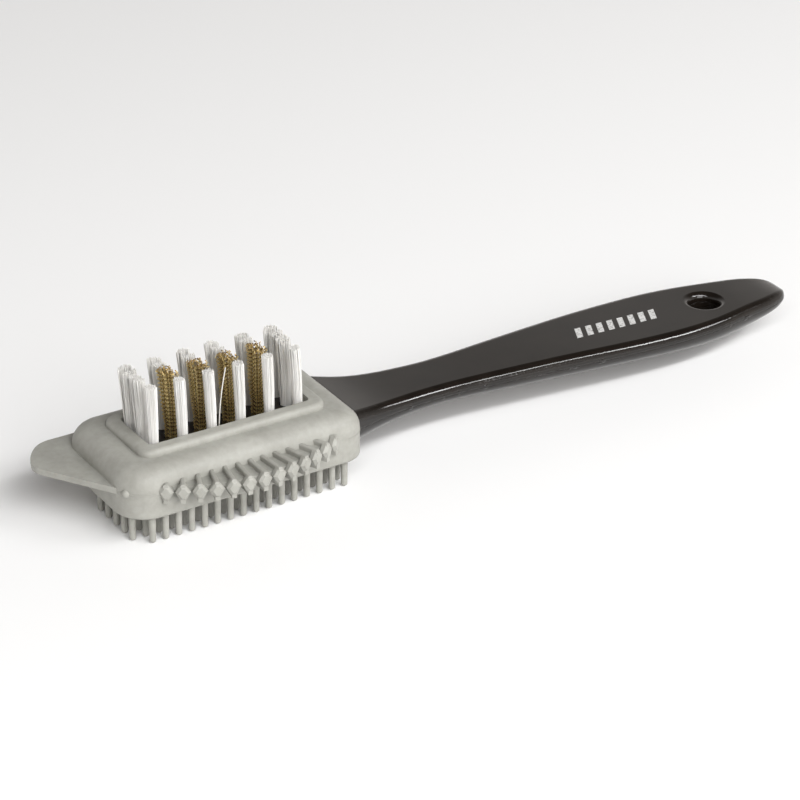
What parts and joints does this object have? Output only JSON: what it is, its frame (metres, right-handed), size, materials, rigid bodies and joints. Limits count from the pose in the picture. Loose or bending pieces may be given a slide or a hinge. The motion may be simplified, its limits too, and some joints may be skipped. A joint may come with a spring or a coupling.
{
  "type": "four-sided care brush",
  "caption": "Long-handled brush with nylon and brass tufts, a rubber boot with pins and teeth, a scraper tab and a hang hole.",
  "frame": {"origin": "on the hang hole's axis, halfway through the grip, 8 mm above the plane of the pin tips", "axes": "+X from the bristle head to the end of the grip, +Z out of the grip's top face, the way the tufts point, +Y away from the toothed side"},
  "size_m": [0.2036, 0.0421, 0.0336],
  "materials": {
    "handle_plastic": "black injection-moulded plastic, satin gloss",
    "boot_rubber": "warm light-grey soft rubber, matte",
    "nylon_bristle": "white translucent nylon filament",
    "brass_wire": "crimped brass wire",
    "anchor_wire": "flat galvanized anchor wire"
  },
  "bodies": {
    "root": {"handle": "handle_plastic", "rubber_boot": "boot_rubber", "nylon_tuft_01": "nylon_bristle", "nylon_tuft_02": "nylon_bristle", "nylon_tuft_03": "nylon_bristle", "nylon_tuft_04": "nylon_bristle", "nylon_tuft_05": "nylon_bristle", "nylon_tuft_06": "nylon_bristle", "nylon_tuft_07": "nylon_bristle", "nylon_tuft_08": "nylon_bristle", "nylon_tuft_09": "nylon_bristle", "nylon_tuft_10": "nylon_bristle", "nylon_tuft_11": "nylon_bristle", "nylon_tuft_12": "nylon_bristle", "nylon_tuft_13": "nylon_bristle", "nylon_tuft_14": "nylon_bristle", "brass_tuft_1": "brass_wire", "brass_tuft_2": "brass_wire", "brass_tuft_3": "brass_wire", "brass_tuft_4": "brass_wire", "tuft_anchors": "anchor_wire"}
  },
  "joints": []
}
